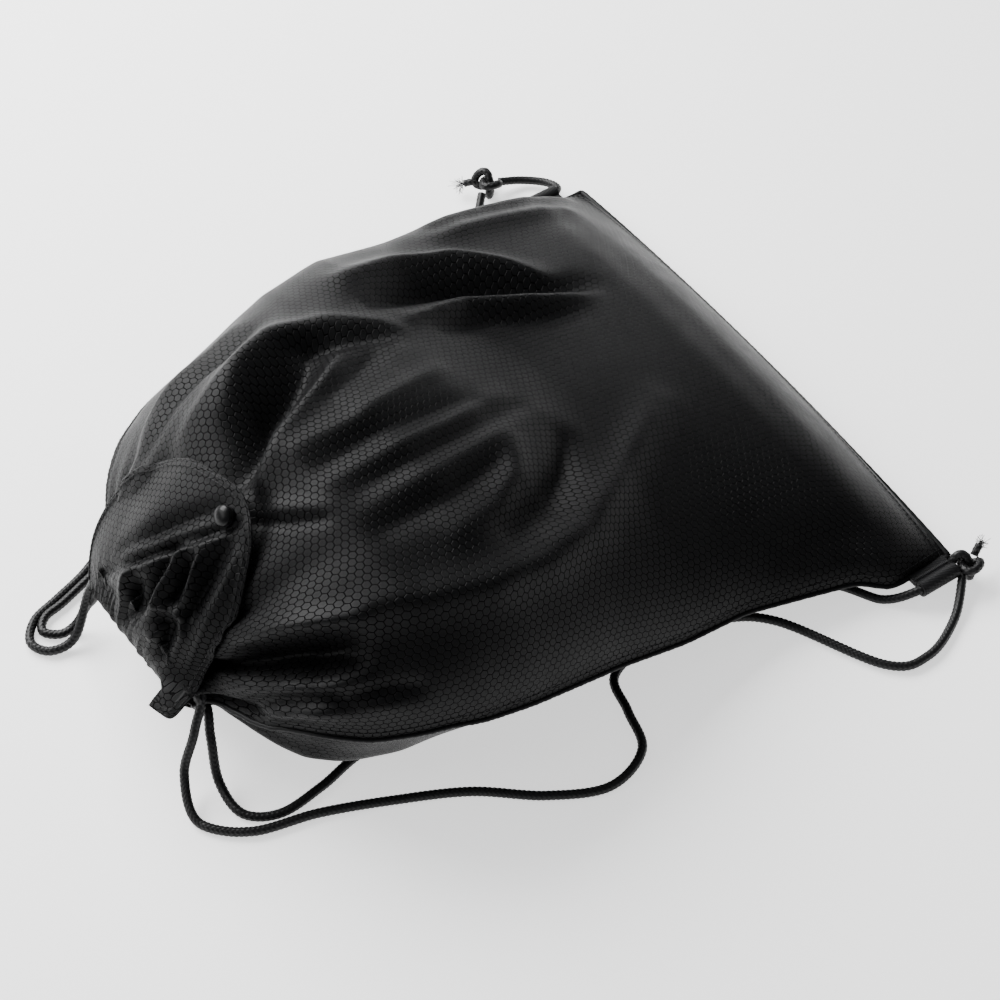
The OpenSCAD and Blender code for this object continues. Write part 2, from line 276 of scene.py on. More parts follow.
# ---------------------------------------------------------------- camera, light and floor
def make_camera():
    azimuth, elevation, distance = math.radians(235.04), math.radians(48.0), 1.5
    back = Vector((math.sin(azimuth) * math.cos(elevation), -math.cos(azimuth) * math.cos(elevation),
                   math.sin(elevation)))
    data = bpy.data.cameras.new("camera")
    data.sensor_width = 36.0
    data.lens = 101.15
    data.shift_x, data.shift_y = 0.0369, -0.0427
    data.clip_start, data.clip_end = 0.05, 50.0
    camera = bpy.data.objects.new("camera", data)
    camera.location = Vector((0, 0, 0.06)) + distance * back
    camera.rotation_mode = "QUATERNION"
    camera.rotation_quaternion = (-back).to_track_quat("-Z", "Y")
    bpy.context.scene.collection.objects.link(camera)
    bpy.context.scene.camera = camera


def area_light(name, place, target, size, power):
    data = bpy.data.lights.new(name, "AREA")
    data.shape, data.size, data.size_y, data.energy = "RECTANGLE", size[0], size[1], power
    light = bpy.data.objects.new(name, data)
    light.location = place
    light.rotation_mode = "QUATERNION"
    light.rotation_quaternion = (Vector(target) - Vector(place)).to_track_quat("-Z", "Y")
    bpy.context.scene.collection.objects.link(light)


def make_stage():
    world = bpy.data.worlds.new("studio")
    bpy.context.scene.world = world
    world.use_nodes = True
    world.node_tree.nodes["Background"].inputs["Color"].default_value = (0.9, 0.92, 0.95, 1)
    world.node_tree.nodes["Background"].inputs["Strength"].default_value = 0.27
    size = 3.0
    mesh = bpy.data.meshes.new("floor")
    corners = [(-size, -size, 0), (size, -size, 0), (size, size, 0), (-size, size, 0)]
    mesh.from_pydata(corners, [], [(0, 1, 2, 3)])
    floor = bpy.data.objects.new("floor", mesh)
    bpy.context.scene.collection.objects.link(floor)
    mat = bpy.data.materials.new("floor_white")
    mat.use_nodes = True
    shader = mat.node_tree.nodes["Principled BSDF"]
    shader.inputs["Base Color"].default_value = (0.86, 0.86, 0.86, 1)
    shader.inputs["Roughness"].default_value = 0.8
    shader.inputs["Specular IOR Level"].default_value = 0.1
    shader.inputs["Emission Color"].default_value = (1, 1, 1, 1)
    shader.inputs["Emission Strength"].default_value = 1.1
    mesh.materials.append(mat)
    area_light("key", (1.15, 0.2, 1.05), (0, 0, 0.05), (1.6, 1.0), 80)
    area_light("rim", (0.5, 1.3, 1.0), (0, 0.05, 0.05), (1.1, 0.7), 8)


# ---------------------------------------------------------------- materials
class Nodes:
    """A small helper that adds and links shader nodes."""

    def __init__(self, name):
        self.mat = bpy.data.materials.new(name)
        self.mat.use_nodes = True
        self.tree = self.mat.node_tree
        self.shader = self.tree.nodes["Principled BSDF"]

    def put(self, socket, value):
        if isinstance(value, bpy.types.NodeSocket):
            self.tree.links.new(value, socket)
        else:
            socket.default_value = value

    def math(self, operation, a, b=0.0, c=0.0, clamp=False):
        node = self.tree.nodes.new("ShaderNodeMath")
        node.operation, node.use_clamp = operation, clamp
        for socket, value in zip(node.inputs, (a, b, c)):
            self.put(socket, value)
        return node.outputs[0]

    def attribute(self, name):
        node = self.tree.nodes.new("ShaderNodeAttribute")
        node.attribute_name = name
        return node.outputs["Vector"]

    def split(self, vector):
        node = self.tree.nodes.new("ShaderNodeSeparateXYZ")
        self.put(node.inputs[0], vector)
        return node.outputs[0], node.outputs[1], node.outputs[2]

    def noise(self, vector, scale, detail=2.0, rough=0.5):
        node = self.tree.nodes.new("ShaderNodeTexNoise")
        self.put(node.inputs["Vector"], vector)
        node.inputs["Scale"].default_value = scale
        node.inputs["Detail"].default_value = detail
        node.inputs["Roughness"].default_value = rough
        return node.outputs["Fac"]

    def ramp(self, value, low, high, out_low=0.0, out_high=1.0):
        node = self.tree.nodes.new("ShaderNodeMapRange")
        node.interpolation_type = "SMOOTHSTEP"
        self.put(node.inputs["Value"], value)
        for key, number in (("From Min", low), ("From Max", high), ("To Min", out_low), ("To Max", out_high)):
            self.put(node.inputs[key], number)
        return node.outputs["Result"]

    def mix(self, factor, a, b):
        node = self.tree.nodes.new("ShaderNodeMix")
        node.data_type = "RGBA"
        self.put(node.inputs["Factor"], factor)
        self.put(node.inputs["A"], a)
        self.put(node.inputs["B"], b)
        return node.outputs["Result"]

    def bump(self, height, distance, strength=1.0, normal=None):
        node = self.tree.nodes.new("ShaderNodeBump")
        self.put(node.inputs["Height"], height)
        node.inputs["Distance"].default_value = distance
        node.inputs["Strength"].default_value = strength
        if normal is not None:
            self.put(node.inputs["Normal"], normal)
        return node.outputs["Normal"]


def honeycomb(n, flat):
    """Distance from each point of the flat cloth to its cell's edge, 0 at the edge and 0.5 at the middle."""
    x, y, _ = n.split(flat)
    shift = 400.0                                     # whole cells, so that the remainders stay positive
    across = n.math("ADD", n.math("DIVIDE", x, HEX_PITCH), shift * math.sqrt(3))
    along = n.math("ADD", n.math("DIVIDE", y, HEX_PITCH), shift)
    root3 = math.sqrt(3)

    def cell(off):
        a = n.math("SUBTRACT", n.math("MODULO", n.math("ADD", along, off), 1.0), 0.5)
        c = n.math("SUBTRACT", n.math("MODULO", n.math("ADD", across, off * root3), root3), root3 / 2)
        size = n.math("ADD", n.math("MULTIPLY", a, a), n.math("MULTIPLY", c, c))
        return n.math("ABSOLUTE", a), n.math("ABSOLUTE", c), size

    a0, c0, s0 = cell(0.0)
    a1, c1, s1 = cell(0.5)
    pick = n.math("LESS_THAN", s1, s0)

    def choose(p, q):
        return n.math("ADD", p, n.math("MULTIPLY", pick, n.math("SUBTRACT", q, p)))

    a, c = choose(a0, a1), choose(c0, c1)
    slanted = n.math("ADD", n.math("MULTIPLY", a, 0.5), n.math("MULTIPLY", c, root3 / 2))
    return n.math("SUBTRACT", 0.5, n.math("MAXIMUM", a, slanted))


def ripstop_material():
    """Coated honeycomb ripstop: satin cells between smoother grooves, whose darker colour is painted shade.
    """
    n = Nodes("ripstop")
    flat = n.attribute("cloth")
    edge = honeycomb(n, flat)
    line = n.ramp(edge, 0.035, 0.075, 1.0, 0.0)
    x, y, _ = n.split(flat)
    weave = n.math("MULTIPLY", n.math("SINE", n.math("MULTIPLY", x, 2 * math.pi / 0.5)),
                   n.math("SINE", n.math("MULTIPLY", y, 2 * math.pi / 0.5)))
    patch = n.noise(flat, 0.05, 3.0)
    cell_colour = n.mix(patch, (0.0028, 0.0028, 0.003, 1), (0.0042, 0.0042, 0.0045, 1))
    # the grooves' near-black colour, darker than the cells', is painted shade in the grooves
    n.put(n.shader.inputs["Base Color"], n.mix(line, cell_colour, (0.0006, 0.0006, 0.0007, 1)))
    n.put(n.shader.inputs["Roughness"], n.math("SUBTRACT", n.ramp(patch, 0.3, 0.7, 0.42, 0.48),
                                               n.math("MULTIPLY", line, 0.22)))
    n.put(n.shader.inputs["Specular IOR Level"], n.math("SUBTRACT", 0.11, n.math("MULTIPLY", line, 0.09)))
    height = n.math("ADD", n.ramp(edge, 0.015, 0.09), n.math("MULTIPLY", weave, 0.12))
    n.put(n.shader.inputs["Normal"], n.bump(height, 0.0002))
    return n.mat


def plain_material(name, colour, rough, spec=0.5):
    n = Nodes(name)
    n.shader.inputs["Base Color"].default_value = (*colour, 1)
    n.shader.inputs["Roughness"].default_value = rough
    n.shader.inputs["Specular IOR Level"].default_value = spec
    return n.mat


def painted_braid_shading_material(name, groove_shade, crown, rough):
    """Braid: painted shade down in the grooves and painted highlight on the strands, mixed by the braid
    height.
    """
    n = Nodes(name)
    node = n.tree.nodes.new("ShaderNodeAttribute")
    node.attribute_name = "crown"
    level, _, _ = n.split(node.outputs["Vector"])
    n.put(n.shader.inputs["Base Color"], n.mix(level, (*groove_shade, 1), (*crown, 1)))
    n.shader.inputs["Roughness"].default_value = rough
    n.shader.inputs["Specular IOR Level"].default_value = 0.22
    return n.mat


# ---------------------------------------------------------------- the body's two panels
BOTTOM_LIFT = 8.0          # how far the middle of the bottom seam stands above its corners
BOTTOM_SKEW = 0.028        # slope of the bottom seam, its far end lying further out


def front_section(y):
    t = np.linspace(math.pi, 0, 241)
    c = np.cos(t)
    width = by_side(c, y, LEFT_WIDTH, RIGHT_WIDTH)
    seam = by_side(c, y, LEFT_SEAM, RIGHT_SEAM)
    arch = by_side(c, y, LEFT_ARCH, RIGHT_ARCH, along)
    lift = BOTTOM_LIFT * (1 - c ** 2) * math.exp(-((y - BOTTOM_Y) / 30) ** 2)
    rise = np.clip(np.sin(t), 0, 1) ** arch
    return np.stack([width * c, np.full_like(t, y), seam + (smooth_at(y, TOP) - seam) * rise + lift], 1)


def back_section(y):
    p = np.linspace(-1, 1, 241)
    width = by_side(p, y, LEFT_WIDTH, RIGHT_WIDTH)
    seam = by_side(p, y, LEFT_SEAM, RIGHT_SEAM)
    q = np.clip((np.abs(p) - FLAT_SHARE) / (1 - FLAT_SHARE), 0, 1)
    base = along(y, BASE)
    lift = BOTTOM_LIFT * (1 - p ** 2) * math.exp(-((y - BOTTOM_Y) / 12) ** 2)
    rise = q ** along(y, BELLY)
    return np.stack([width * p, np.full_like(p, y), base + (seam - base) * rise + lift], 1)


COLS, ROWS = 120, 150
GATHER_Y = 105.0           # from here to the mouth the cloth is drawn in


def row_places():
    """Places along the bag, closer together where the front panel is steep, and the cloth's length."""
    ys = np.linspace(BOTTOM_Y, NECK_Y + CASING_L, 800)
    slope = np.hypot(1, np.gradient(smooth_at(ys, TOP), ys) * 0.6)
    run = np.concatenate([[0], np.cumsum((slope[1:] + slope[:-1]) / 2 * np.diff(ys))])
    return np.interp(np.linspace(0, run[-1], ROWS + 1), run, ys), run[-1]


ROW_Y, CLOTH_LENGTH = row_places()


def panel_grids(section):
    """The smooth panel and its flat cloth coordinates, each rows x cols."""
    points, flat = [], []
    full = 0.0
    for j, y in enumerate(ROW_Y):
        line, width = arc_resample(section(y), COLS)
        points.append(line)
        if y < GATHER_Y:          # past this the same cloth is only drawn together
            full = width
        flat.append(np.stack([np.linspace(-full / 2, full / 2, COLS + 1),
                              np.full(COLS + 1, CLOTH_LENGTH * j / ROWS)], axis=1))
    return np.array(points), np.array(flat)


def grid_normals(grid):
    """Unit normals of a rows x cols grid, pointing up on the front panel."""
    du = np.gradient(grid, axis=1)
    dv = np.gradient(grid, axis=0)
    n = np.cross(du, dv)
    return n / np.maximum(np.linalg.norm(n, axis=2, keepdims=True), 1e-9)


# Folds of the front panel: name: (height, width, [(x, y), ...]) with valleys negative
FOLDS = {
    "pinch_high": (9, 9, [(106, 6), (112, -31), (106, -66), (90, -89), (70, -108)]),
    "pinch_valley": (-13, 9, [(80, 4), (87, -38), (81, -70), (68, -96), (58, -122)]),
    "pinch_low": (8, 6.5, [(58, -8), (66, -46), (58, -70), (54, -94), (52, -122)]),
    "pinch_shade": (-5, 7, [(46, -20), (50, -55), (42, -80), (40, -104)]),
    "shoulder_ridge": (7, 9, [(56, 14), (70, 40), (74, 67), (64, 93), (46, 116)]),
    "shoulder_wedge": (-8, 7, [(46, 14), (54, 34), (62, 52), (66, 66)]),
    "deep_valley": (-24, 14, [(58, 56), (45, 76), (32, 98), (20, 116), (8, 131), (0, 146)]),
    "deep_lip": (8, 6.5, [(40, 50), (25, 74), (15, 92), (8, 108), (0, 120), (-8, 130)]),
    "far_lobe": (7, 12, [(80, 66), (66, 92), (56, 120), (50, 142)]),
    "far_streak": (-5, 7, [(98, 70), (88, 100), (80, 128), (66, 152)]),
    "far_streak_ridge": (4, 7, [(114, 72), (102, 102), (94, 128), (84, 146)]),
    "dip_1": (-4, 6.5, [(14, 72), (24, 50), (36, 30)]),
    "wave_1": (3, 6.5, [(-8, 106), (-8, 72), (2, 40), (12, 8)]),
    "dip_2": (-4, 7, [(-24, 102), (-20, 70), (-18, 40), (-14, 4)]),
    "wave_2": (2.8, 7, [(-35, 106), (-33, 65), (-26, 27), (-14, -16)]),
    "dip_3": (-3.6, 7.5, [(-46, 92), (-42, 58), (-34, 22), (-22, -18)]),
    "wave_3": (2.6, 8, [(-56, 92), (-53, 51), (-43, 13), (-28, -28)]),
    "dip_4": (-4, 8, [(-70, 96), (-68, 56), (-56, 18)]),
    "side_pocket": (-9, 9, [(-50, -30), (-68, -16), (-84, 6), (-94, 36)]),
    "pocket_lip": (4, 8, [(-48, 2), (-66, 14), (-80, 34), (-88, 66)]),
    "rim": (9, 12, [(-40, -100), (-60, -70), (-80, -40), (-101, -7), (-112, 28), (-115, 64), (-109, 100),
                    (-96, 130), (-79, 150)]),
    "neck_ridge_1": (8, 5.5, [(-50, 179), (-68, 163), (-86, 145), (-99, 129)]),
    "neck_pocket": (-11, 7, [(-58, 175), (-76, 167), (-93, 154), (-106, 140)]),
    "neck_ridge_2": (8, 6, [(-52, 184), (-80, 173), (-104, 158), (-116, 140)]),
    "neck_crease": (-7, 4.5, [(-53, 187), (-75, 179), (-97, 167), (-117, 149), (-132, 120)]),
    "neck_ridge_3": (5, 6, [(-60, 186), (-86, 176), (-110, 160), (-128, 134)]),
    "snap_shade": (-5, 7, [(-4, 134), (-16, 138), (-26, 144)]),
    "snap_crease": (-3.5, 2.6, [(-22, 143), (-36, 133), (-50, 118)]),
    "snap_pull": (2.5, 5, [(-24, 136), (-34, 126), (-46, 113)]),
    "far_fold_1": (4, 6, [(150, -84), (154, -132), (158, -180)]),
    "far_fold_2": (4, 8, [(134, -79), (136, -118), (136, -165)]),
    "corner_dent": (-4, 14, [(-136, -110), (-142, -140), (-150, -165)]),
}


def fold_offset(grid, normals, folds, power=2.0):
    """Moves a grid along its normals by strokes that follow the folds."""
    flat = grid.reshape(-1, 3)
    push = np.zeros(len(flat))
    for height, width, route in folds.values():
        points = np.array(route, float)
        if points.shape[1] == 2:
            points = np.column_stack([points, front_height(points[:, 0], points[:, 1])])
        run = np.linspace(0, len(points) - 1, 14 * len(points))
        line = np.stack([np.interp(run, range(len(points)), points[:, k]) for k in range(3)], axis=1)
        if len(route[0]) == 2:
            line[:, 2] = front_height(line[:, 0], line[:, 1])
        gap = np.linalg.norm(flat[:, None, :] - line[None, :, :], axis=2)
        near = gap.argmin(axis=1)
        taper = np.sin(np.pi * np.clip((run[near] + 0.35) / (run[-1] + 0.7), 0, 1)) ** 0.6
        push += height * taper * np.exp(-(gap[np.arange(len(flat)), near] / width) ** power)
    return grid + normals * push.reshape(grid.shape[:2] + (1,))


def gather(grid, normals, seed):
    """Adds the pleats that run out from the drawn mouth, fewer and softer further away."""
    rng = np.random.default_rng(seed)
    across = np.linspace(0, 1, grid.shape[1])[None, :]
    y = ROW_Y[:, None]
    push = np.zeros(grid.shape[:2])
    for count, reach, size in ((4, 75, 4.5), (7, 45, 4.0), (13, 22, 3.0), (21, 10, 1.6)):
        phase = rng.uniform(0, 2 * math.pi)
        wobble = 0.35 * np.sin(2 * math.pi * across * rng.uniform(1, 2) + rng.uniform(0, 6))
        fade = np.exp(-np.maximum(0, NECK_Y - y) / reach) * np.clip((y - 60) / 60, 0, 1)
        push += size * fade * np.sin(2 * math.pi * count * (across + 0.02 * wobble) + phase)
    push *= np.sin(np.pi * across) ** 0.25
    return grid + normals * push[..., None]


def make_bag_cloth():
    """Front and back panels, joined at their seams, creased by FOLDS and gathered at the mouth."""
    front, front_flat = panel_grids(front_section)
    back, back_flat = panel_grids(back_section)
    front[0] = back[0] = (front[0] + back[0]) / 2
    front[:, 0] = back[:, 0]
    front[:, -1] = back[:, -1]
    front_n, back_n = grid_normals(front), -grid_normals(back)
    front = gather(fold_offset(front, front_n, FOLDS, power=1.6), front_n, 3)
    back = gather(back, back_n, 5)
    back[..., 2] = np.maximum(back[..., 2], 0.4)
    for grid in (front, back):
        near_bottom = np.exp(-((grid[..., 1] - BOTTOM_Y) / 60) ** 2)
        grid[..., 1] -= BOTTOM_SKEW * grid[..., 0] * near_bottom
        # the lower side of the mouth lies further back
        low = np.clip(MOUTH_Z - grid[..., 2], 0, 30) * np.clip((grid[..., 1] - 165) / 35, 0, 1)
        grid[..., 1] -= 0.6 * low
        grid[..., 2] += 0.3 * low
    return (front, front_flat), (back, back_flat)


# ---------------------------------------------------------------- flap
FOLD_Y, FOLD_Z = 205.4, 48.3
ROOT_NEAR, ROOT_FAR = -34.0, 44.0      # ends of the fold, across the mouth
# The flap's free edge, from its near corner round to the far end of the fold
FLAP_EDGE = [(-39, 219, 50), (-46, 217, 49.5), (-53, 214, 50), (-52, 205, 53), (-50, 196, 57),
             (-48, 189, 65), (-49, 183, 75), (-50, 176, 86), (-49, 169, 97), (-43, 160, 110),
             (-35, 151, 120), (-28, 146, 126), (-20, 142, 129), (-12, 140, 131), (-4, 140, 132),
             (7, 142, 131), (20, 144, 128), (32, 146, 123), (46, 150, 112), (58, 156, 99),
             (65, 166, 88), (67, 177, 77), (63, 189, 66), (54, 199, 55), (44, 205.4, 48.3)]
FLAP_COLS, FLAP_ROWS = 190, 96
FLAP_THICK, ROOT_THICK = 0.9, 0.8  # two layers of cloth
HEM_RISE = 0.45                    # how far the hem's extra layer stands out


def flap_surface():
    """The smooth flap: rows run from the fold to the free edge, columns along the edge."""
    edge = arc_resample(smooth_route(FLAP_EDGE, 1.0), FLAP_COLS)[0]
    u = np.linspace(0, 1, FLAP_COLS + 1)[:, None]
    root_x = ROOT_NEAR + u * (ROOT_FAR - ROOT_NEAR)
    root = np.hstack([root_x, np.full_like(u, FOLD_Y), np.full_like(u, FOLD_Z)])
    reach = np.clip(np.linalg.norm(edge - root, axis=1, keepdims=True) / 95, 0.02, 1)
    above = root + reach * np.array([0, 11, 34])
    over = edge + 0.5 * (root + reach * np.array([0, 6, 38]) - edge)
    t = np.linspace(0, 1, FLAP_ROWS + 1)[:, None, None]
    return ((1 - t) ** 3 * root + 3 * t * (1 - t) ** 2 * above + 3 * t * t * (1 - t) * over + t ** 3 * edge)


# Folds of the flap: (height, width, [(x, y, z), ...]); they fan out from the snap to the gathered fold
FLAP_FOLDS = {
    "main_crease": (-5.0, 2.6, [(-19, 151, 124), (-9, 165, 115), (4, 181, 103), (15, 193, 91),
                                (36, 202, 68)]),
    "crease_lip": (3.2, 3.4, [(-22, 154, 121), (-13, 167, 112), (0, 183, 100), (9, 195, 88), (26, 203, 68)]),
    "valley": (-5.5, 5.0, [(-6, 152, 124), (2, 161, 118), (10, 171, 111), (16, 180, 103), (27, 190, 89)]),
    "pleat_a": (-9.0, 4.2, [(-2, 178, 106), (-4, 187, 98), (-4, 195, 90), (-3, 203, 76)]),
    "ridge_a": (5.0, 3.4, [(-6, 175, 107), (-8, 184, 100), (-10, 191, 93), (-13, 199, 83)]),
    "pleat_b": (-8.5, 3.4, [(-13, 174, 107), (-17, 183, 100), (-20, 193, 90)]),
    "ridge_b": (5.0, 2.9, [(-16, 170, 110), (-21, 179, 104), (-25, 187, 95)]),
    "left_pleat": (-8.0, 4.2, [(6, 196, 88), (4, 201, 80), (4, 204, 66)]),
    "left_ridge": (5.0, 3.6, [(12, 195, 89), (10, 201, 80), (11, 204, 64)]),
    "facet": (-5.0, 9.0, [(38, 204, 60), (26, 205, 66), (15, 205, 70)]),
    "band_valley": (-7.5, 4.6, [(-22, 156, 119), (-26, 168, 109), (-29, 180, 98), (-31, 190, 86)]),
    "band_ridge": (3.0, 4.6, [(-31, 158, 116), (-36, 170, 103), (-39, 183, 86), (-41, 195, 67)]),
    "pocket": (-9.0, 4.4, [(-19, 199, 83), (-25, 198, 82), (-27, 203, 69)]),
    "pocket_rim": (6.0, 2.6, [(-15, 197, 87), (-22, 193, 90), (-29, 191, 88), (-33, 196, 79),
                              (-31, 204, 63)]),
    "pocket_curl": (4.5, 2.4, [(-18, 204, 72), (-22, 203, 76), (-25, 205, 68)]),
}
HEM_W = 5.5


def flap_grid():
    """The flap with its folds and the small gathers at the fold line, clear of the front panel."""
    grid = flap_surface()
    normals = -grid_normals(grid)
    creased = fold_offset(grid, normals, FLAP_FOLDS, power=1.5)
    grid = grid + (creased - grid) * np.clip(np.linspace(0, 1, FLAP_ROWS + 1) / 0.12, 0, 1)[:, None, None]
    rng = np.random.default_rng(8)
    u = np.linspace(0, 1, FLAP_COLS + 1)[None, :]
    t = np.linspace(0, 1, FLAP_ROWS + 1)[:, None]
    push = np.zeros(grid.shape[:2])
    for count, size in ((9, 1.2), (17, 1.0), (29, 0.6)):          # small gathers at the fold
        push += size * np.exp(-t / 0.16) * np.sin(2 * math.pi * (count * u + rng.uniform(0, 1)))
    push *= np.clip(t / 0.08, 0, 1) * np.clip((u - 0.1) / 0.1, 0, 1)
    grid = grid + normals * push[..., None]
    return clear_of(grid, front_tree, 1.6)


def clear_of(grid, tree, gap):
    """Lifts any point of a grid that lies closer than gap to the front panel."""
    out = grid.copy()
    flat = out.reshape(-1, 3)
    for k, point in enumerate(flat):
        if point[1] > NECK_Y + 4:
            continue
        place, normal, _, distance = tree.find_nearest(Vector(point))
        if place is None or distance > 30 or place[1] > NECK_Y:
            continue
        depth = (Vector(point) - place).dot(normal)
        if depth < gap:
            flat[k] += np.array(normal) * (gap - depth)
    return out


def offset_line(grid, normals, from_edge, lift):
    """The line on a grid at a distance inside its last row, lifted off the surface."""
    line = []
    for column, side in zip(grid.transpose(1, 0, 2), normals.transpose(1, 0, 2)):
        run = np.concatenate([[0], np.cumsum(np.linalg.norm(np.diff(column, axis=0), axis=1))])
        at = max(run[-1] - from_edge, 0)
        point = [np.interp(at, run, column[:, k]) for k in range(3)]
        normal = np.array([np.interp(at, run, side[:, k]) for k in range(3)])
        line.append(np.array(point) + lift * normal)
    return np.array(line)


def flat_lengths(grid):
    """Cloth coordinates in mm: distance across from the middle column and along from the first row."""
    across = np.zeros(grid.shape[:2])
    across[:, 1:] = np.cumsum(np.linalg.norm(np.diff(grid, axis=1), axis=2), axis=1)
    across -= across[:, grid.shape[1] // 2][:, None]
    along_it = np.zeros(grid.shape[:2])
    along_it[1:] = np.cumsum(np.linalg.norm(np.diff(grid, axis=0), axis=2), axis=0)
    return np.stack([across, along_it], axis=2)


def unrolled(grid):
    """Cloth coordinates of a sheet that bends about x only: x, and the distance along its middle profile."""
    profile = arc_resample(grid[:, grid.shape[1] // 2, 1:], 600, 2)[0]
    run = np.concatenate([[0], np.cumsum(np.linalg.norm(np.diff(profile, axis=0), axis=1))])
    before, after = profile[0] - profile[1], profile[-1] - profile[-2]
    steps = np.arange(1, 160)[:, None]
    profile = np.vstack([(profile[0] + before * steps)[::-1], profile, profile[-1] + after * steps])
    run = np.concatenate([-np.arange(159, 0, -1) * np.linalg.norm(before), run,
                          run[-1] + np.arange(1, 160) * np.linalg.norm(after)])
    rows = []
    for row in grid[..., 1:]:
        gap = np.linalg.norm(row[:, None, :] - profile[None, :, :], axis=2)
        rows.append(run[gap.argmin(axis=1)] - np.maximum(gap.min(axis=1) - 1, 0) * (row[:, 0] > FOLD_Y))
    return np.stack([grid[..., 0], np.array(rows)], axis=2)


def make_flap():
    """The flap: two layers of cloth with a raised hem and two rows of stitching, turning at the fold."""
    smooth = flap_surface()
    grid = flap_grid()
    normals = -grid_normals(grid)
    run = flat_lengths(grid)[..., 1]
    inside = run[-1:] - run
    band = np.clip((HEM_W - inside) / 0.5, 0, 1)
    grid = grid + normals * (HEM_RISE * band)[..., None]
    flap = mesh_object("flap_cloth", grid.reshape(-1, 3), grid_faces(FLAP_ROWS + 1, FLAP_COLS + 1, flip=True),
                       [("cloth", unrolled(smooth).reshape(-1, 2))])
    flap.data.materials.append(RIPSTOP)
    thick = flap.modifiers.new("two_layers", "SOLIDIFY")
    thick.thickness, thick.offset = FLAP_THICK * MM, -1
    subdivide(flap)
    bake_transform(flap)
    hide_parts("closure_flap", "flap_hem")
    rows = []
    for inset in (1.8, 4.3):
        line = offset_line(grid, normals, inset, 0.12)
        rows.append(stitch_row(line[6:-6], *HEM_STITCH))
    points, faces = joined(rows)
    thread = mesh_object("flap_stitching", points, faces)
    thread.data.materials.append(THREAD)
    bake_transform(thread)
    return flap


# ---------------------------------------------------------------- mouth, root of the flap and seams
MOUTH_RX, MOUTH_RZ = 38.0, 7.0


def mouth_grid(rim, sign, seed):
    """Cloth from the panel's last row round into the mouth: the gathered end of a casing and its lining."""
    rng = np.random.default_rng(seed)
    t = np.linspace(math.pi, 0, len(rim))
    inner = np.stack([MOUTH_RX * np.cos(t), np.full_like(t, 200.0), MOUTH_Z + sign * MOUTH_RZ * np.sin(t)], 1)
    rows = []
    for k in range(15):
        s = k / 8
        mixed = rim + (inner - rim) * (1 - math.cos(math.pi * min(s, 1))) / 2
        mixed[:, 1] = (rim[:, 1] + (196 - rim[:, 1]) * min(s, 1) + 2.6 * math.sin(math.pi * min(s, 1))
                       - 14 * max(0, s - 1))
        rows.append(mixed)
    grid = np.array(rows)
    u = np.linspace(0, 1, len(rim))[None, :]
    k = np.linspace(0, 1, 15)[:, None]
    push = np.zeros(grid.shape[:2])
    for count, size in ((13, 1.2), (23, 0.9)):
        rise = np.sin(math.pi * np.minimum(k * 1.9, 1))
        push += size * rise * np.sin(2 * math.pi * (count * u + rng.uniform()))
    grid[..., 1] += push * np.sin(math.pi * u) ** 0.3
    return grid


def make_mouth():
    """The linings inside the mouth, and the strip of cloth from the back casing up to the fold."""
    for name, node, grid, sign in (("front_mouth_lining", "front_casing", front_grid, 1),
                                   ("back_mouth_lining", "back_casing", back_grid, -1)):
        lining = mouth_grid(grid[-1], sign, 11 + sign)
        obj = mesh_object(name, lining.reshape(-1, 3), grid_faces(15, COLS + 1, flip=sign < 0),
                          [("cloth", flat_lengths(lining).reshape(-1, 2))])
        obj.data.materials.append(RIPSTOP)
        subdivide(obj)
        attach(obj, "bag")
        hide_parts(node)
    root_path = np.array([(184, 31), (193, 33), (200.5, 39.5), (FOLD_Y, FOLD_Z)])
    profile = arc_resample(smooth_route(np.hstack([np.zeros((4, 1)), root_path]), 0.5), 14)[0]
    x = np.linspace(-ROOT_FAR, ROOT_FAR, 121)
    wave = 0.9 * np.sin(x * 0.9) + 0.6 * np.sin(x * 1.7 + 1)
    grid = np.array([[(px, p[1] + 0.6 * math.sin(math.pi * k / 14) * w, p[2]) for px, w in zip(x, wave)]
                     for k, p in enumerate(profile)])
    root = mesh_object("flap_root_cloth", grid.reshape(-1, 3), grid_faces(15, 121, flip=True),
                       [("cloth", flat_lengths(grid).reshape(-1, 2))])
    root.data.materials.append(RIPSTOP)
    thick = root.modifiers.new("two_layers", "SOLIDIFY")
    thick.thickness, thick.offset = ROOT_THICK * MM, -1
    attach(root, "bag")
    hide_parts("flap_root")


STITCH_LIFT = 0.15                 # how far the thread lies above the cloth
SEAM_STITCH = (3.2, 2.5, 0.2)      # pitch, length and radius of a stitch
HEM_STITCH = (2.9, 2.3, 0.2)


def make_seams():
    """Turned and stitched edges where the two panels meet."""
    for name, path, node in (("left_seam_edge", front_grid[:, 0], "left_side_seam"),
                             ("right_seam_edge", front_grid[:, -1], "right_side_seam"),
                             ("bottom_seam_edge", front_grid[0], "bottom_seam")):
        line = arc_resample(path, round(path_length(path) / 1.5))[0]
        run = np.linspace(0, path_length(line), len(line))
        pucker = 1 + 0.07 * np.sin(run * 2.1) + 0.05 * np.sin(run * 0.83)
        turn = np.arange(16) * 2 * math.pi / 16
        radii = pucker[:, None] * (1.25 + 0.35 * np.cos(turn)[None, :] ** 2)
        points, faces = tube(line, radii, 16)
        points[:, 2] = np.maximum(points[:, 2], 0.3)
        obj = mesh_object(name, points, faces)
        obj.data.materials.append(EDGE)
        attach(obj, "bag")
        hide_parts(node)
    rows = []
    normals = grid_normals(front_grid)
    stitched = front_grid + STITCH_LIFT * normals
    for line in (stitched[:-12, 2], stitched[:-12, COLS - 2], stitched[2]):
        rows.append(stitch_row(line, *SEAM_STITCH))
    points, faces = joined(rows)
    thread = mesh_object("seam_stitching", points, faces)
    thread.data.materials.append(THREAD)
    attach(thread, "bag")


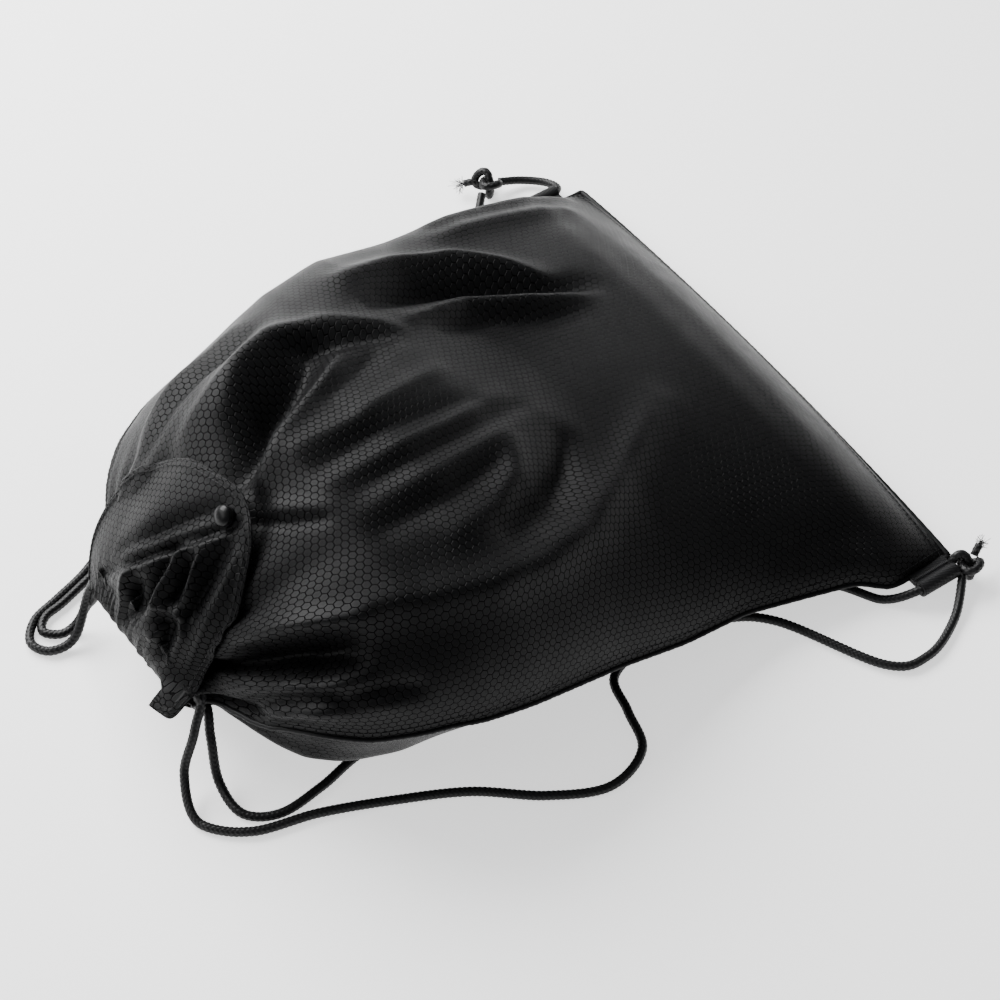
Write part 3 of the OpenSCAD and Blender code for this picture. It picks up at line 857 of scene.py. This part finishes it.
# ---------------------------------------------------------------- snap, webbing loops, cords and knots
SNAP_X, SNAP_Y = -12.0, 148.0
SNAP_Z = float(front_height(SNAP_X, SNAP_Y))
HINGE_Z = 48.0                     # height of the flap's hinge
SNAP_TILT = math.atan2(SNAP_Z - HINGE_Z, FOLD_Y - SNAP_Y)


def make_snap():
    """The domed cap with its rolled edge, turned about the snap's own axis."""
    profile = [(0.0, 9.5), (1.8, 9.35), (3.3, 8.95), (4.6, 8.3), (5.35, 7.6), (5.6, 7.0),
               (5.5, 6.5), (5.0, 6.35), (1.5, 6.35), (0.0, 6.35)]
    sides = 48
    turn = np.arange(sides) * 2 * math.pi / sides
    line = arc_resample(np.array([(0.02 + r, 0, h) for r, h in profile], float), 40)[0]
    rings = [[(r * math.cos(a), r * math.sin(a), h) for a in turn] for r, _, h in line]
    points = np.array(rings).reshape(-1, 3)
    c, s = math.cos(-SNAP_TILT), math.sin(-SNAP_TILT)
    points = points @ np.array([[1, 0, 0], [0, c, -s], [0, s, c]]).T
    cap = mesh_object("snap_cap_dome", points + (SNAP_X, SNAP_Y, SNAP_Z),
                      grid_faces(len(line), sides, close=True, flip=True))
    cap.data.materials.append(SNAP_BLACK)
    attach(cap, "flap")
    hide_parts("snap_cap")


LOOP_Y0, LOOP_Z, EYE_X, EYE_R = -196.0, 11.0, 182.2, 2.8
SEAM_X = 174.2


def loop_line(offset):
    """Cross-section of the folded webbing: from the seam round the cord and back, in x and z."""
    r = EYE_R + WEB_T / 2 + offset
    half = math.asin(min(1, (WEB_T / 2 + offset) / r))
    around = np.linspace(math.pi - half, -math.pi + half, 40)
    line = [(SEAM_X - 3, LOOP_Z + WEB_T / 2 + offset)]
    line += [(EYE_X + r * math.cos(a), LOOP_Z + r * math.sin(a)) for a in around]
    line += [(SEAM_X - 3, LOOP_Z - WEB_T / 2 - offset)]
    points = np.array([(x, 0, z) for x, z in line], float)
    return arc_resample(points, 110)[0]


def make_web_loop(side, name, node):
    """A ribbed band of webbing, folded round the cord and sewn into the side seam."""
    outer, inner = loop_line(WEB_T / 2), loop_line(-WEB_T / 2 + 0.1)
    across = np.linspace(0, WEB_W, 81)
    ridge = 0.13 * np.abs(np.sin(math.pi * across / 2.1))
    run = np.linspace(0, path_length(outer), len(outer))
    rows = []
    for y, lift in zip(across, ridge):
        knuckle = 0.09 * np.sin(2 * math.pi * (run / 1.5 + y / 4.2))
        away = outer - inner
        away /= np.linalg.norm(away, axis=1, keepdims=True)
        line = outer + away * (lift - 0.1 + knuckle)[:, None]
        line[:, 1] = LOOP_Y0 + y
        rows.append(line)
    top = np.array(rows)
    under = np.array([inner + (0, LOOP_Y0 + y, 0) for y in across])
    # a closed section, swept along the band's width
    grid = np.concatenate([top, under[:, ::-1]], axis=1)
    count = grid.shape[1]
    points = grid.reshape(-1, 3)
    faces = grid_faces(len(across), count, close=True, flip=side < 0)
    for row in (0, len(across) - 1):
        for k in range(len(outer) - 1):
            a = row * count + k
            b = row * count + count - 1 - k
            faces.append((a, a + 1, b - 1, b) if (row == 0) == (side > 0) else (b, b - 1, a + 1, a))
    points = points * (side, 1, 1)
    obj = mesh_object(name, points, faces)
    obj.data.materials.append(WEBBING)
    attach(obj, "bag")
    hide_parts(node)
    return obj


def make_bartack(side, name, node):
    """Dense zigzag stitching that closes the webbing loop beside the seam, on both faces."""
    centres, directions = [], []
    for level in (WEB_T + 0.25, -WEB_T - 0.25):
        for k in range(44):
            y = LOOP_Y0 + 1.2 + k * (WEB_W - 2.4) / 43
            centres.append((side * (SEAM_X + 1.9), y, LOOP_Z + level))
            directions.append((1.0, 0.35 if k % 2 else -0.35, 0))
    points, faces = stitches(np.array(centres), np.array(directions), 2.4, 0.3)
    obj = mesh_object(name, points, faces)
    obj.data.materials.append(THREAD)
    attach(obj, "bag")
    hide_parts(node)


def knot_path(centre, size, lean, turn):
    """An overhand knot drawn tight, as a closed line round its centre."""
    t = np.linspace(0, 2 * math.pi, 97)[:-1] + 0.4
    x, y, z = np.sin(t) + 2 * np.sin(2 * t), np.cos(t) - 2 * np.cos(2 * t), -1.5 * np.sin(3 * t)
    line = np.stack([x, y, z], axis=1)
    line = np.vstack([line, line[:1]]) * size
    ca, sa, cb, sb = math.cos(lean), math.sin(lean), math.cos(turn), math.sin(turn)
    line = line @ np.array([[1, 0, 0], [0, ca, -sa], [0, sa, ca]]).T
    line = line @ np.array([[cb, -sb, 0], [sb, cb, 0], [0, 0, 1]]).T
    return smooth_route(line + centre, 0.5)


KNOT_SIZE = 2.7
LEFT_KNOT = (-182.5, -203.0, 10.0)
RIGHT_KNOT = (213.0, -167.0, 10.0)
# The cords' ways, from knot to casing, round the mouth and back through the webbing loop
LEFT_ROUTE = [
    (-186, -198, 9), (-203, -178, 3), (-214, -150, 3), (-205, -127, 3), (-150, -99, 3), (-131, -72, 3),
    (-124, -34, 3), (-130, -6, 3), (-152, 2, 3), (-176, 11, 3), (-185, 38, 3), (-171, 68, 3),
    (-147, 98, 3), (-129, 133, 3), (-114, 168, 3), (-104, 202, 3), (-84, 221, 3), (-62, 215, 14),
    (-55, 203, 34), (-42, 190, 54), (0, 189, 62), (44, 190, 53), (44, 190, 39), (0, 189, 31),
    (-42, 190, 38), (-58, 196, 26), (-72, 201, 8), (-92, 200, 3), (-103, 184, 3), (-101, 158, 3),
    (-95, 128, 3), (-99, 85, 3), (-106, 40, 3), (-112, -5, 3), (-117, -55, 3), (-126, -105, 3),
    (-147, -139, 3), (-171, -155, 3), (-182, -172, 10.6), (-182.2, -190, 11), (-183, -199, 10),
]
RIGHT_ROUTE = [
    (209, -160, 8), (196, -147, 3), (177, -128, 3), (164, -95, 3), (158, -50, 3), (155, 0, 3),
    (149, 42, 3), (138, 80, 3), (124, 118, 3), (114, 146, 3), (101, 168, 3), (90, 188, 3), (83, 208, 3),
    (77, 225, 3), (65, 234, 3), (54, 228, 3), (52, 214, 7), (58, 199, 30), (42, 196, 54), (0, 197, 62),
    (-44, 196, 53), (-44, 196, 39), (0, 197, 31), (42, 196, 38), (58, 200, 20), (60, 209, 6),
    (61, 218, 3), (68, 225, 3), (76, 219, 3), (80, 204, 3), (94, 166, 3), (108, 140, 3), (117, 114, 3),
    (131, 77, 3), (142, 40, 3), (148, 0, 3), (150, -50, 3), (155, -95, 3), (163, -133, 3), (175, -156, 4),
    (182, -172, 10.6), (182.2, -192, 11), (187, -201, 8), (198, -200, 5), (208, -189, 5),
    (212, -175, 8),
]


def make_cord(name, route, knot_at, tips, node_prefix):
    """A strap cord with its knot and frayed ends."""
    line = smooth_route(route, 0.55)
    line[:, 2] = np.maximum(line[:, 2], CORD_D / 2 + 0.2)
    cord = braid_object(name, line, CORD_D)
    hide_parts(node_prefix + "_cord")
    knot_line = knot_path(knot_at, KNOT_SIZE, tips["lean"], tips["turn"])
    knot = braid_object(name + "_knot", knot_line, 4.8)
    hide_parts(node_prefix + "_knot")
    parts, crown = [], []
    for start, end in tips["stubs"]:
        middle = (np.array(start) + np.array(end)) / 2 + (0, 0, 0.8)
        stub = smooth_route([start, middle, end], 0.5)
        points, faces, height = braid_tube(stub, 4.4)
        parts.append((points, faces))
        crown.append(height)
        heading = np.array(end, float) - middle
        points, faces = fibres(end, heading, 46, tips["fray"], 0.4, tips["seed"])
        parts.append((points, faces))
        # the loose fibres take a colour near the strands' painted highlight
        crown.append(np.full(len(points), 0.8))
    points, faces = joined(parts)
    ends = mesh_object(name + "_frayed_ends", points, faces, [("crown", np.concatenate(crown)[:, None])])
    ends.data.materials.append(CORD_BLACK)
    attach(ends, "bag")
    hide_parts(node_prefix + "_cord_tips")
    return cord


make_camera()
make_stage()
RIPSTOP = ripstop_material()
# the cord's colour runs from painted shade in the braid's grooves to painted highlight on its strands
CORD_BLACK = painted_braid_shading_material("cord_black", (0.0005, 0.0005, 0.0006), (0.013, 0.013, 0.0135), 0.42)
WEBBING = plain_material("webbing_black", (0.006, 0.006, 0.0065), 0.5, 0.22)
THREAD = plain_material("thread_black", (0.006, 0.006, 0.0065), 0.5, 0.25)
EDGE = plain_material("edge_black", (0.003, 0.003, 0.0033), 0.5, 0.15)
SNAP_BLACK = plain_material("snap_gloss", (0.002, 0.002, 0.0022), 0.3, 0.16)

(front_grid, front_flat), (back_grid, back_flat) = make_bag_cloth()
front = mesh_object("front_cloth", front_grid.reshape(-1, 3), grid_faces(ROWS + 1, COLS + 1),
                    [("cloth", front_flat.reshape(-1, 2))])
back = mesh_object("back_cloth", back_grid.reshape(-1, 3), grid_faces(ROWS + 1, COLS + 1, flip=True),
                   [("cloth", back_flat.reshape(-1, 2))])
for obj in (front, back):
    obj.data.materials.append(RIPSTOP)
    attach(obj, "bag")
    subdivide(obj)
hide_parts("front_panel")
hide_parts("back_panel")
front_tree = BVHTree.FromPolygons([tuple(p) for p in front_grid.reshape(-1, 3)],
                                  grid_faces(ROWS + 1, COLS + 1))
flap = make_flap()
make_mouth()
make_seams()
make_snap()
make_web_loop(-1, "left_webbing", "left_web_loop")
make_web_loop(1, "right_webbing", "right_web_loop")
make_bartack(-1, "left_bar_stitching", "left_loop_bartack")
make_bartack(1, "right_bar_stitching", "right_loop_bartack")
make_cord("left_strap_cord", LEFT_ROUTE, LEFT_KNOT,
          {"lean": 1.1, "turn": 0.6, "fray": 7.0, "seed": 4,
           "stubs": [((-181, -210, 12), (-179, -215, 15))]}, "left")
make_cord("right_strap_cord", RIGHT_ROUTE, RIGHT_KNOT,
          {"lean": 1.2, "turn": 0.2, "fray": 9.0, "seed": 6,
           "stubs": [((217, -163, 10), (222, -156, 9))]}, "right")
for name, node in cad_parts.items():
    if name in ("snap_socket", "snap_stud", "snap_eyelet"):
        node.data.materials.clear()
        node.data.materials.append(SNAP_BLACK)
